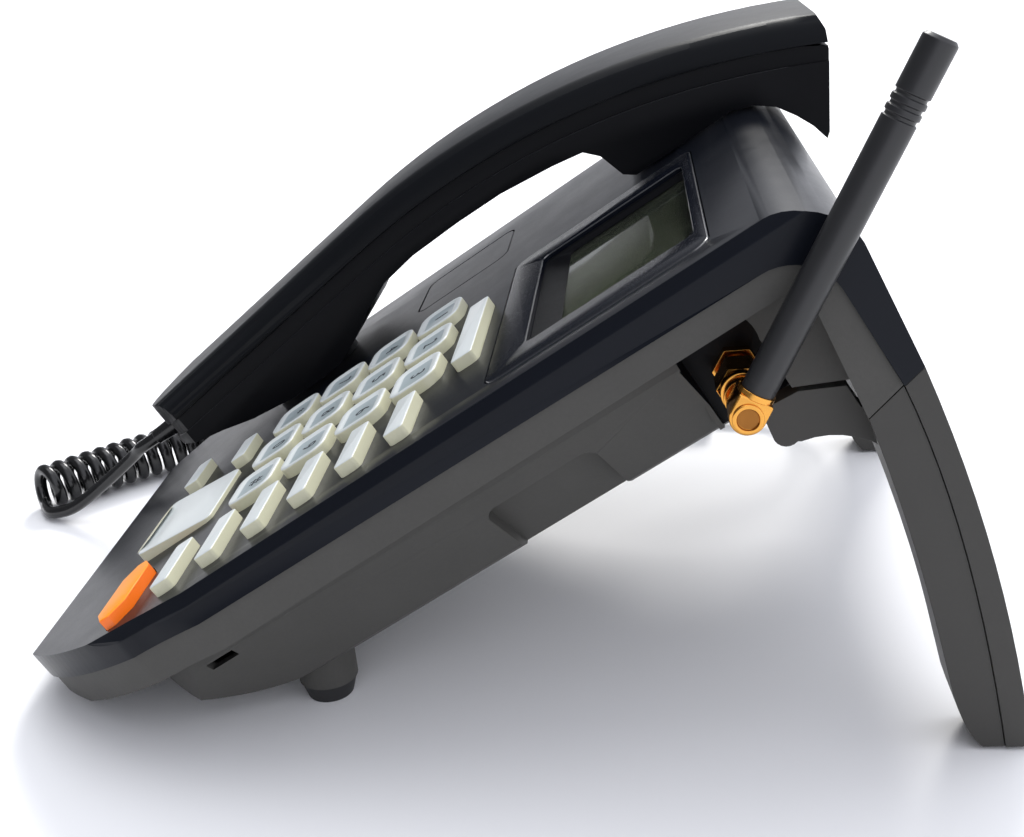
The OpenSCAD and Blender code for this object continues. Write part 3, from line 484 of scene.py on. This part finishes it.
def reach(points, angle):
    # distance from the corner's pivot to an outline, at an angle
    for (a0, r0), (a1, r1) in zip(points, points[1:]):
        if a0 <= angle <= a1:
            return r0 + (r1 - r0) * (angle - a0) / max(1e-9, a1 - a0)
    return points[0][1] if angle < points[0][0] else points[-1][1]


def polar(x, y):
    dx, dy = x - corner["pivot"][0], y - corner["pivot"][1]
    return math.atan2(dy, dx), math.hypot(dx, dy)


def roundOutline(steps=48):
    # the CAD form's corner, as angles and distances from the pivot
    side, front, radius = corner["side"], corner["front"], corner["radius"]
    points = []
    for i in range(steps + 1):
        t = -math.pi / 2 * (1 - i / steps)
        points.append(polar(side - radius + radius * math.cos(t),
                            front + radius + radius * math.sin(t)))
    return points + [polar(side, corner["pivot"][1])]


def drawnOutline(steps=64):
    # the drawn corner, a curve with two pulls
    side, front, alongX, alongY = (corner[key] for key in ("side", "front", "alongX", "alongY"))
    way = ((side - alongX, front), (side - corner["pullX"] * alongX, front),
           (side, front + corner["pullY"] * alongY), (side, front + alongY))
    points = []
    for i in range(steps + 1):
        t = i / steps
        share = ((1 - t) ** 3, 3 * t * (1 - t) ** 2, 3 * t * t * (1 - t), t ** 3)
        points.append(polar(*(sum(w * q[axis] for w, q in zip(share, way)) for axis in (0, 1))))
    return points


roundCorner = roundOutline()
drawnCorner = drawnOutline()


def drawCorners(bm):
    # gives the base's front corners their long drawn curve
    beyondX, beyondY = corner["cutBeyond"]
    bmesh.ops.triangulate(bm, faces=bm.faces[:])
    cutThrough(bm, lambda co: abs(co.x) > beyondX and co.y < beyondY,
               [((0, y, 0), (0, 1, 0)) for y in corner["cuts"]])
    for v in bm.verts:
        x, y = abs(v.co.x), v.co.y
        if x > corner["pivot"][0] and y < corner["pivot"][1]:
            angle, r = polar(x, y)
            old = reach(roundCorner, angle)
            move = ((reach(drawnCorner, angle) - old)
                    * fade(r / old, corner["fadeFrom"], corner["fadeTo"]))
            v.co.x += math.copysign(1, v.co.x) * move * math.cos(angle)
            v.co.y += move * math.sin(angle)
    bmesh.ops.dissolve_limit(bm, angle_limit=math.radians(corner["flat"]),
                             use_dissolve_boundaries=False, verts=bm.verts[:], edges=bm.edges[:])
    bm.normal_update()


def tuckBoard(bm):
    # the inner boards end inside the drawn corner
    for v in bm.verts:
        if v.co.x > corner["pivot"][0] and v.co.y < corner["pivot"][1]:
            angle, r = polar(v.co.x, v.co.y)
            over = max(0, r - reach(drawnCorner, angle) + corner["boardGap"])
            v.co.x -= over * math.cos(angle)
            v.co.y -= over * math.sin(angle)


# handset: parting edges along its sides, and the lip at the ear end
handset = dict(middle=-45.2, half=23.5, near=3, level=0.75, rear=104, lip=112.9, round=0.5)


def shellEdge(place, first, second):
    # parting edges along the handset's sides
    level = [abs(n.z) > handset["level"] for n in (first, second)]
    aside = abs(abs(place.x - handset["middle"]) - handset["half"])
    onSide = aside < handset["near"] and place.y < handset["rear"]
    return any(level) and not all(level) and onSide


def trimLip(bm):
    # ends the handset's face flush at the ear
    for v in bm.verts:
        v.co.y = min(v.co.y, handset["lip"])


# display faceplate
plate = dict(level=0.95, upright=0.4, round=0.25)


def plateEdge(place, first, second):
    # top edges of the display's faceplate
    upright = min(abs(first.z), abs(second.z)) < plate["upright"]
    return max(first.z, second.z) > plate["level"] and upright


# antenna plug on its jack: block, end disc, flange, neck and collar; also the jack's pocket
plug = dict(at=(83, 65, -25.8), lean=32.2, half=3.25, top=3.5, back=-4.1, front=3.1, round=0.45,
            arcSteps=20, sharp=40, soft=0.15,
            capR=2.75, capIn=0.5, capOut=3.7, neckR=2.4, neckEnd=-14.6, neckIn=0.3,
            flangeR=3.5, flange=(-8.6, -6.2), collarR=3.4, collar=(-0.2, 0.9),
            sleeveR=3.02, sleeveStart=0.8, sleeveEnd=6.3,
            rings=((0.2, 0.12), (0.55, 0), (0.15, -0.5)),
            pocket=(59.4, 78, 56.8, 72.6, -10), pocketFacing=-0.2)
plugPlace = (Matrix.Translation(plug["at"])
             @ Matrix.Rotation(math.radians(plug["lean"]), 4, "X"))
nut = dict(level=0.9, upright=0.4, outside=3.3, round=0.8)


def nutEdge(place, first, second):
    # outer edges of the coupling nut's open end
    outward = math.hypot(place.y - plug["at"][1], place.z - plug["at"][2])
    edge = max(first.x, second.x) > nut["level"] and min(first.x, second.x) < nut["upright"]
    return edge and outward > nut["outside"]


def pocketShadeFaces(bm):
    # the walls of the jack's pocket, picked out to take black plastic as painted shade
    x0, x1, y0, y1, z1 = plug["pocket"]
    inside = []
    for face in bm.faces:
        c = face.calc_center_median()
        within = x0 < c.x < x1 and y0 < c.y < y1 and c.z < z1
        if within and face.normal.x > plug["pocketFacing"]:
            inside.append(face)
    return inside


# feet of the stand
foot = dict(tall=16, deep=5.4, front=108.4, seam=115.2, lean=0.2, cuts=(1.2, 2.6, 4.4, 6.6, 9, 12))


def roundFoot(bm):
    # draws the front of the stand's feet back to the parting line in a long curve
    up = Vector((0, math.sin(tilt), math.cos(tilt)))
    for height in foot["cuts"]:
        bmesh.ops.bisect_plane(bm, geom=bm.verts[:] + bm.edges[:] + bm.faces[:], dist=0.001,
                               plane_co=(0, 0, (height - deck["lift"]) / math.cos(tilt)),
                               plane_no=up)
    for v in bm.verts:
        p = lifted(*v.co)
        if p.z < foot["tall"]:
            rise = 1 - max(0, p.z) / foot["tall"]
            share = ((foot["seam"] - foot["lean"] * p.z - p.y)
                     / (foot["seam"] - foot["front"]))
            back = foot["deep"] * (1 - math.sqrt(1 - rise * rise)) * min(1, max(0, share))
            v.co += back * Vector((0, math.cos(tilt), -math.sin(tilt)))


# shells and trim taken from the CAD form: node, finish, softness of the edges in millimetres
shells = dict(
    topCover=("top_cover", deckPlastic, 0.45), bottomCase=("bottom_case", bellyPlastic, 0.6),
    displayFrame=("display_faceplate", bezelPlastic, 0.3),
    indexPlate=("index_plate", deckPlastic, 0.25),
    handsetBack=("handset_back", gripPlastic, 0.5), handsetFace=("handset_face", facePlastic, 0.55),
    standRear=("stand_rear_cover", standPlastic, 0.9),
    standFront=("stand_front_shell", standPlastic, 0.8),
    antennaNut=("antenna_nut", goldPlate, 0.2),
    keypadMat=("keypad_mat", matSilicone, 0.1), mainBoard=("main_board", boardLacquer, 0.1),
    batteryDoor=("battery_door", bellyPlastic, 0.3), hookPlunger=("hook_plunger", facePlastic, 0.5),
    jackNut=("jack_nut", goldPlate, 0.15), bootSleeve=("cord_boot", cordVinyl, 0.2),
    standPads=("stand_pads", padRubber, 0.3))
for name, (node, finish, width) in shells.items():
    bm = nodeCopy(node)
    second = paintedHighlightEdge
    marked = []  # faces that take the second finish: painted highlight lines on rounded edges, painted shade in the jack's pocket
    if node in ("stand_front_shell", "stand_pads"):
        roundFoot(bm)
    elif node in ("keypad_mat", "main_board"):
        tuckBoard(bm)
    elif node == "top_cover":
        liftParting(bm)
        roundOver(bm, rimEdge, rim["coverRound"])
        drawCorners(bm)
    elif node == "bottom_case":
        liftParting(bm)
        roundOver(bm, rimEdge, rim["caseRound"])
        drawCorners(bm)
        # the jack's pocket walls take the black face plastic as painted shade
        second = facePlastic
        marked = pocketShadeFaces(bm)
    elif node == "handset_back":
        # the rounded parting edges take the painted highlight
        marked = roundOver(bm, shellEdge, handset["round"], 2)
    elif node == "handset_face":
        trimLip(bm)
        # the rounded parting edges take the painted highlight
        marked = roundOver(bm, shellEdge, handset["round"], 2)
    elif node == "display_faceplate":
        # the faceplate's rounded top edges take the painted highlight
        marked = roundOver(bm, plateEdge, plate["round"], 2)
    elif node == "antenna_nut":
        roundOver(bm, nutEdge, nut["round"], 2)
    for face in marked:
        face.material_index = 1
    obj = addPiece(name, bm, (finish, second), bodyOf[node], (node,))
    softenEdges(obj, width)
print("shells made:", len(shells))


def drum(bm, radius, start, end, turn, segments=40):
    # a closed cylinder along the turned X axis
    made = bmesh.ops.create_cone(bm, cap_ends=True, segments=segments, radius1=radius,
                                 radius2=radius, depth=end - start,
                                 matrix=turn @ Matrix.Translation(((start + end) / 2, 0, 0))
                                 @ Matrix.Rotation(math.pi / 2, 4, "Y"))
    return {face for v in made["verts"] for face in v.link_faces}


def raiseFace(bm, base, vec):
    # extrudes one face into a closed block
    grown = bmesh.ops.extrude_face_region(bm, geom=[base])["geom"]
    bmesh.ops.translate(bm, verts=[v for v in grown if isinstance(v, bmesh.types.BMVert)], vec=vec)


def insetFace(bm, face, steps):
    # steps one face in: how far, and how far up or down
    for thickness, depth in steps:
        bmesh.ops.inset_region(bm, faces=[face], thickness=thickness, depth=depth,
                               use_even_offset=True)


def plugForm():
    # right-angle plug: block rounded below, ringed end disc, flange and neck, collar to the whip
    bm = bmesh.new()
    half, top, back, front = (plug[key] for key in ("half", "top", "back", "front"))
    steps = plug["arcSteps"]
    under = [(half * math.cos(math.pi * i / steps), -half * math.sin(math.pi * i / steps))
             for i in range(steps + 1)]
    outline = [(half, top), *under, (-half, top)]
    base = bm.faces.new([bm.verts.new((back, y, z)) for z, y in outline])
    raiseFace(bm, base, (front - back, 0, 0))
    bm.normal_update()
    sharp = [e for e in bm.edges
             if len(e.link_faces) == 2 and e.calc_face_angle() > math.radians(plug["sharp"])]
    bevelled(bm, sharp, plug["round"], 3)
    along = Matrix.Identity(4)
    whipward = Matrix.Rotation(math.pi / 2, 4, "Z")
    cap = drum(bm, plug["capR"], front - plug["capIn"], plug["capOut"], along)
    disc = max(cap, key=lambda face: face.calc_center_median().x)
    insetFace(bm, disc, plug["rings"])
    # the recessed end disc takes the darker gold as painted shade
    disc.material_index = 1
    drum(bm, plug["neckR"], plug["neckEnd"], back + plug["neckIn"], along)
    drum(bm, plug["flangeR"], *plug["flange"], along)
    drum(bm, plug["collarR"], *(top + rise for rise in plug["collar"]), whipward)
    for face in drum(bm, plug["sleeveR"], top + plug["sleeveStart"], plug["sleeveEnd"], whipward):
        face.material_index = 2
    bm.transform(plugPlace)
    return bm


plugObj = addPiece("antennaElbow", plugForm(), (goldPlate, goldRecessPaintedShade, whipPlastic),
                   bodyOf["antenna_elbow"], ("antenna_elbow",))
softenEdges(plugObj, plug["soft"])

# whip turned from its profile, with three grooves below the tip
whip = dict(radius=3.05, start=6, end=68, tip=10.2, grooves=3, step=1.8, width=0.8, deep=0.35,
            slope=0.1, chamfer=0.6, steps=40, soft=0.15)


def whipForm():
    r, start, end, deep, slope = (whip[key] for key in ("radius", "start", "end", "deep", "slope"))
    profile = [(0, start), (r, start)]
    for i in reversed(range(whip["grooves"])):
        y = end - whip["tip"] - i * whip["step"]
        profile += [(r, y), (r - deep, y + slope),
                    (r - deep, y + whip["width"] - slope), (r, y + whip["width"])]
    profile += [(r, end - whip["chamfer"]), (r - whip["chamfer"], end), (0, end)]
    bm = bmesh.new()
    line = [bm.verts.new((x, y, 0)) for x, y in profile]
    edges = [bm.edges.new(pair) for pair in zip(line, line[1:])]
    bmesh.ops.spin(bm, geom=line + edges, cent=(0, 0, 0), axis=(0, 1, 0), angle=2 * math.pi,
                   steps=whip["steps"], use_merge=True)
    bmesh.ops.remove_doubles(bm, verts=bm.verts[:], dist=0.001)
    bm.transform(plugPlace)
    return bm


whipObj = addPiece("antennaWhip", whipForm(), (whipPlastic,), bodyOf["antenna_whip"],
                   ("antenna_whip",))
softenEdges(whipObj, whip["soft"])

# rubber feet under the belly, drawn in towards the table
feet = dict(at=(48, -36.937 - deck["shift"][1]), low=10, high=12.6, tall=4.3, stem=9, stemFrom=1,
            stemTop=6.9, sole=((1.2, 0), (0.4, -0.3)), soft=0.5)


def feetForm():
    bm = bmesh.new()
    atX, atY = feet["at"]
    stem, stemFrom, stemTop = feet["stem"], feet["stemFrom"], feet["stemTop"]
    for x in (-atX, atX):
        made = bmesh.ops.create_cone(bm, cap_ends=True, segments=48, radius1=feet["low"] / 2,
                                     radius2=feet["high"] / 2, depth=feet["tall"],
                                     matrix=Matrix.Translation((x, atY, feet["tall"] / 2)))
        bmesh.ops.create_cone(bm, cap_ends=True, segments=32, radius1=stem / 2, radius2=stem / 2,
                              depth=stemTop - stemFrom,
                              matrix=Matrix.Translation((x, atY, (stemTop + stemFrom) / 2)))
        sole = min((f for v in made["verts"] for f in v.link_faces),
                   key=lambda f: f.calc_center_median().z)
        insetFace(bm, sole, feet["sole"])
    return bm


feetObj = addPiece("frontFeet", feetForm(), (padRubber,), bodyOf["front_feet"],
                   ("front_feet",), tablePlace)
softenEdges(feetObj, feet["soft"])
print("plug, whip and feet made")

# sloped black surround inside the display window, deepest on the key side
surround = dict(outer=(-1.95, 58.95, 34.55, 71.95), inner=(-0.9, 58.1, 40.6, 71.2), top=-1.02,
                low=-2.44, radius=2, innerShare=0.6, thick=0.3)


def ringEdges(bm, x0, x1, y0, y1, z, radius):
    corners = [bm.verts.new(co) for co in ((x0, y0, z), (x1, y0, z), (x1, y1, z), (x0, y1, z))]
    bm.faces.new(corners)
    bevelled(bm, corners, radius, 5, affect="VERTICES")
    level = (f for f in bm.faces if abs(f.calc_center_median().z - z) < 1e-4)
    lid = max(level, key=lambda f: f.calc_area())
    ring = list(lid.edges)
    bmesh.ops.delete(bm, geom=[lid], context="FACES_ONLY")
    return ring


bm = bmesh.new()
outerRing = ringEdges(bm, *surround["outer"], surround["top"], surround["radius"])
innerRing = ringEdges(bm, *surround["inner"], surround["low"],
                      surround["radius"] * surround["innerShare"])
bmesh.ops.bridge_loops(bm, edges=outerRing + innerRing)
for face in bm.faces:
    face.normal_update()
if sum(face.normal.z for face in bm.faces) < 0:
    bmesh.ops.reverse_faces(bm, faces=bm.faces[:])
bmesh.ops.solidify(bm, geom=bm.faces[:], thickness=surround["thick"])
addPiece("windowSurround", bm, (facePlastic,), "base")

# keys: each box is left, right, front, rear and corner radius
digitNames = ["key_1", "key_2", "key_3", "key_4", "key_5", "key_6", "key_7", "key_8", "key_9",
              "key_star", "key_0", "key_hash"]
digitMarks = ["1", "2", "3", "4", "5", "6", "7", "8", "9", "*", "0", "#"]
digits = dict(right=5.8, width=15.2, depth=12.1, stepX=19.95, stepY=14.7, radius=3.6,
              round=0.5, dish=((0.7, -0.04), (0.5, -0.2), (0.5, -0.16)),
              markSize=5.4, markTall=0.12, markUp=0.3, markSunk=0.4, markBed=0.07)
bars = dict(left=50.9, right=69.7, front=4, depth=4.7, step=11.9, count=6, radius=0.8,
            round=0.3, panel=((0.5, 0.1),))
callKey = dict(box=(45.7, 69.8, -71.6, -64, 1), point=4.5, flat=1.2)
wedgeKey = dict(box=(8.6, 36.2, -74, -53.5, 2), fall=1.6, panel=((2.6, 0), (0.5, -0.12)))
keyRise, keyLow = 2.5, -3.6
keyFacing = 0.45  # faces turned up further than this belong to the top
keyBoxes = {}
for i, name in enumerate(digitNames):
    x = digits["right"] + digits["stepX"] * (i % 3)
    y = -digits["stepY"] * (i // 3)
    keyBoxes[name] = (x - digits["width"], x, y, y + digits["depth"], digits["radius"])
for i in range(bars["count"]):
    y = bars["front"] - bars["step"] * i
    keyBoxes["bar_key_%d" % (i + 1)] = (bars["left"], bars["right"], y, y + bars["depth"],
                                        bars["radius"])
keyBoxes["top_bar_key"] = (11, 48.5, 16.8, 22, bars["radius"])
keyBoxes["call_key"] = callKey["box"]
keyBoxes["wedge_key"] = wedgeKey["box"]
keyBoxes["left_bar_key_1"] = (-8.6, 5.2, -56.8, -52.4, bars["radius"])
keyBoxes["left_bar_key_2"] = (-15.2, -1, -74.6, -70.2, bars["radius"])


def keyBlock(bm, name, x0, x1, y0, y1, radius):
    if name == "call_key":  # long hexagon with cut points
        mid = (y0 + y1) / 2
        point, flat = callKey["point"], callKey["flat"]
        outline = [(x0, mid - flat), (x0 + point, y0), (x1 - point, y0), (x1, mid - flat),
                   (x1, mid + flat), (x1 - point, y1), (x0 + point, y1), (x0, mid + flat)]
        base = bm.faces.new([bm.verts.new((x, y, keyLow)) for x, y in outline])
        raiseFace(bm, base, (0, 0, keyRise - keyLow))
    else:
        bmesh.ops.create_cube(bm, size=1)
        bmesh.ops.scale(bm, verts=bm.verts[:], vec=(x1 - x0, y1 - y0, keyRise - keyLow))
        bmesh.ops.translate(bm, verts=bm.verts[:],
                            vec=((x0 + x1) / 2, (y0 + y1) / 2, (keyRise + keyLow) / 2))
        upright = [e for e in bm.edges if abs(e.verts[0].co.z - e.verts[1].co.z) > 1]
        bevelled(bm, upright, radius, 6)
    if name == "wedge_key":  # slopes down to the rear
        for v in bm.verts:
            if v.co.z > 0:
                v.co.z -= wedgeKey["fall"] * (v.co.y - y0) / (y1 - y0)


def keyForm(name, spec):
    bm = bmesh.new()
    keyBlock(bm, name, *spec)
    digit = name in digitNames
    top = max(bm.faces, key=lambda f: f.calc_center_median().z)
    bevelled(bm, list(top.edges), (digits if digit else bars)["round"], 3)
    # the flat top has more corners than the strips of its rounding
    top = max(bm.faces,
              key=lambda f: f.calc_center_median().z + (0.01 if len(f.verts) > 8 else 0))
    if digit:  # finger dish
        insetFace(bm, top, digits["dish"])
    elif name == "wedge_key":  # sunk panel
        insetFace(bm, top, wedgeKey["panel"])
    elif name != "call_key":
        insetFace(bm, top, bars["panel"])
    bm.normal_update()
    for face in bm.faces:  # flanks take painted colours: a yellow tint for light shining through the keys, a darker redder orange as shade on the call key
        # the digit's dish takes the darker copy of the key plastic as painted shade
        dished = digit and face == top
        face.material_index = 2 if dished else 0 if face.normal.z > keyFacing else 1
    return bm


def keyMark(name, mark):
    # a plain numeral printed on the key, made a mesh and laid on the dish
    x0, x1, y0, y1 = keyBoxes[name][:4]
    word = bpy.data.curves.new("mark", "FONT")
    word.body = mark
    word.size = digits["markSize"]
    word.align_x = "CENTER"
    word.align_y = "CENTER"
    word.extrude = digits["markTall"]
    word.resolution_u = 3
    wordObj = bpy.data.objects.new("mark", word)
    scene.collection.objects.link(wordObj)
    made = meshOf(wordObj)
    bm = bmesh.new()
    bm.from_mesh(made)
    bpy.data.meshes.remove(made)
    bmesh.ops.translate(bm, verts=bm.verts[:],
                        vec=((x0 + x1) / 2, (y0 + y1) / 2 + digits["markUp"],
                             keyRise - digits["markSunk"] - digits["markBed"]))
    addPiece(name.replace("key_", "numeral_"), bm, (inkBlack,), bodyOf[name])


for name, spec in keyBoxes.items():
    bm = keyForm(name, spec)
    finishes = (callPlastic, callFlankPaintedShade) if name == "call_key" else (keyPlastic, keyFlankPaintedLight, keyDishPaintedShade)
    addPiece(name + "_cap", bm, finishes, bodyOf[name], (name,))
for name, mark in zip(digitNames, digitMarks):
    keyMark(name, mark)
print("keys made:", len(keyBoxes))

# pale floor and soft studio light
stageSize = 6.0
floorBook = Book("floorPaper")
fleck = floorBook.noise(scale=9, detail=3, rough=0.5)
floorBook.surface(colour=floorBook.tint(fleck, (0.93, 0.93, 0.94), (0.95, 0.95, 0.955)), rough=0.75)
bm = bmesh.new()
bmesh.ops.create_grid(bm, x_segments=8, y_segments=8, size=stageSize)
floorMesh = bpy.data.meshes.new("floorPaper")
bm.to_mesh(floorMesh)
bm.free()
floorMesh.materials.append(floorBook.mat)
floorObj = bpy.data.objects.new("floorPaper", floorMesh)
scene.collection.objects.link(floorObj)

lamps = dict(
    windowBehind=dict(place=(-2.8, 0.3, 2.5), aim=(0, 0, 0.05), size=(1.0, 1.0), power=90,
                      colour=(1.0, 0.985, 0.95)),
    ceilingSoft=dict(place=(-0.4, -0.3, 2.2), aim=(0, 0, 0.05), size=(1.6, 1.6), power=16,
                     colour=(0.95, 0.97, 1.0)))
for name, lamp in lamps.items():
    data = bpy.data.lights.new(name, "AREA")
    data.shape = "RECTANGLE"
    data.size, data.size_y = lamp["size"]
    data.energy = lamp["power"]
    data.color = lamp["colour"]
    obj = bpy.data.objects.new(name, data)
    scene.collection.objects.link(obj)
    facing = (Vector(lamp["aim"]) - Vector(lamp["place"])).to_track_quat("-Z", "Y")
    obj.matrix_world = Matrix.Translation(lamp["place"]) @ facing.to_matrix().to_4x4()

# room light: tone runs from behind to in front, strength falls towards the front edge
room = dict(behind=(0.98, 1.0, 1.07, 1), inFront=(1.1, 1.12, 1.22, 1), toneFrom=-0.25, toneTo=0.75,
            dimFrom=-0.5, dimTo=0.05, dimmest=0.2, brightest=1.22)
world = bpy.data.worlds.new("softRoom")
world.use_nodes = True
sky = world.node_tree
way = sky.nodes.new("ShaderNodeTexCoord")
axes = sky.nodes.new("ShaderNodeSeparateXYZ")
dusk = sky.nodes.new("ShaderNodeMapRange")
wall = sky.nodes.new("ShaderNodeMix")
corridor = sky.nodes.new("ShaderNodeMapRange")
dusk.interpolation_type = "SMOOTHSTEP"
dusk.inputs["From Min"].default_value = room["toneFrom"]
dusk.inputs["From Max"].default_value = room["toneTo"]
wall.data_type = "RGBA"
wall.inputs[6].default_value = room["behind"]
wall.inputs[7].default_value = room["inFront"]
corridor.interpolation_type = "SMOOTHSTEP"
corridor.inputs["From Min"].default_value = room["dimFrom"]
corridor.inputs["From Max"].default_value = room["dimTo"]
corridor.inputs["To Min"].default_value = room["dimmest"]
corridor.inputs["To Max"].default_value = room["brightest"]
sky.links.new(way.outputs["Generated"], axes.inputs["Vector"])
sky.links.new(axes.outputs["X"], dusk.inputs["Value"])
sky.links.new(axes.outputs["Y"], corridor.inputs["Value"])
sky.links.new(dusk.outputs["Result"], wall.inputs["Factor"])
sky.links.new(wall.outputs[2], sky.nodes["Background"].inputs["Color"])
sky.links.new(corridor.outputs["Result"], sky.nodes["Background"].inputs["Strength"])
scene.world = world
scene.view_settings.view_transform = "Standard"
scene.view_settings.look = "None"
print("stage and light made")
